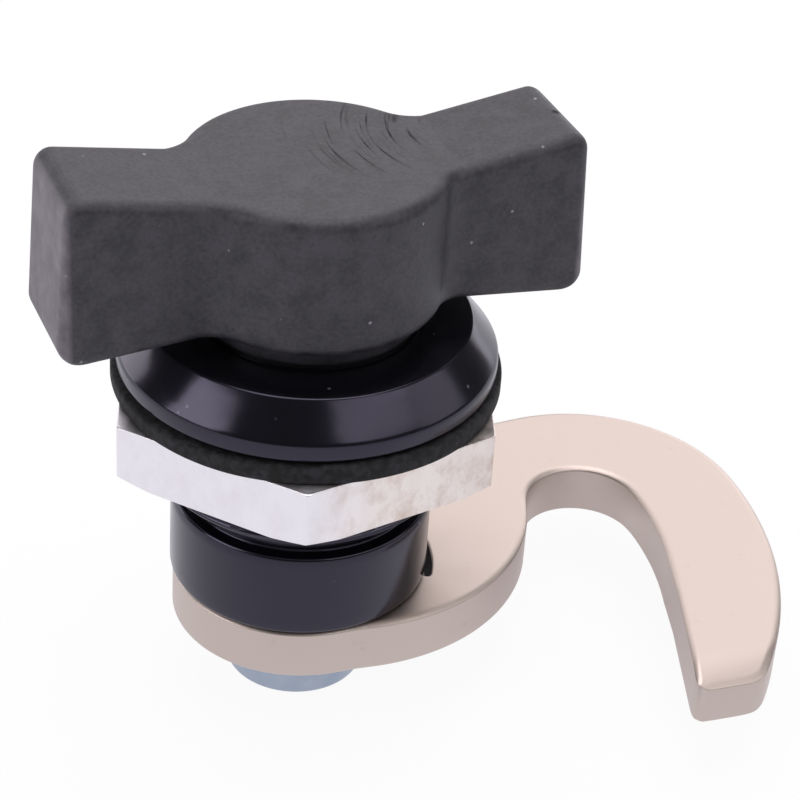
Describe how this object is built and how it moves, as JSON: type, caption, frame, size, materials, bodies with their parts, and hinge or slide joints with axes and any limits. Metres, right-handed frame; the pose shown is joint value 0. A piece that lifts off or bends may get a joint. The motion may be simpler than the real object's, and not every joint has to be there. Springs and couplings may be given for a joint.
{
  "type": "wing knob hook latch",
  "caption": "Quarter-turn panel latch: a wing knob turns a flat hook cam under a bevelled, threaded body that a gasket and hexagon nut clamp in a panel hole.",
  "frame": {"origin": "on the latch axis at the panel's outer face, where the flange gasket bears", "axes": "+Z along the latch axis towards the knob; the flats of the threaded body face +X and -X; the hook lies towards +X in the drawn position"},
  "size_m": [0.058, 0.0364, 0.0454],
  "materials": {
    "black_coated_zinc": "gloss black coat on a zinc die casting",
    "seal_rubber": "matte moulded rubber",
    "bright_zinc_plate": "bright zinc plate, lightly scuffed",
    "acetal": "black acetal",
    "filled_nylon": "fine spark-textured glass-filled nylon",
    "turned_steel": "turned and zinc plated",
    "spring_steel": "oiled spring steel",
    "satin_nickel": "tumbled and satin nickel plated",
    "blue_zinc_plate": "blue-white zinc plate"
  },
  "bodies": {
    "latch_body": {"housing": "black_coated_zinc", "flange_gasket": "seal_rubber", "thrust_washer": "acetal"},
    "nut": {"mounting_nut": "bright_zinc_plate"},
    "rotor": {"wing_knob": "filled_nylon", "spindle": "turned_steel", "o_ring": "seal_rubber", "retaining_ring": "spring_steel", "hook_cam": "satin_nickel", "spring_washer": "spring_steel", "cam_screw": "blue_zinc_plate"}
  },
  "joints": [
    {"name": "quarter_turn", "type": "hinge", "parent": "latch_body", "child": "rotor", "pos_m": [0, 0, 0], "axis": [0, 0, 1], "range_deg": [-90, 0]},
    {"name": "nut_travel", "type": "slide", "parent": "latch_body", "child": "nut", "axis": [0, 0, -1], "range_m": [0, 0.0045]}
  ]
}
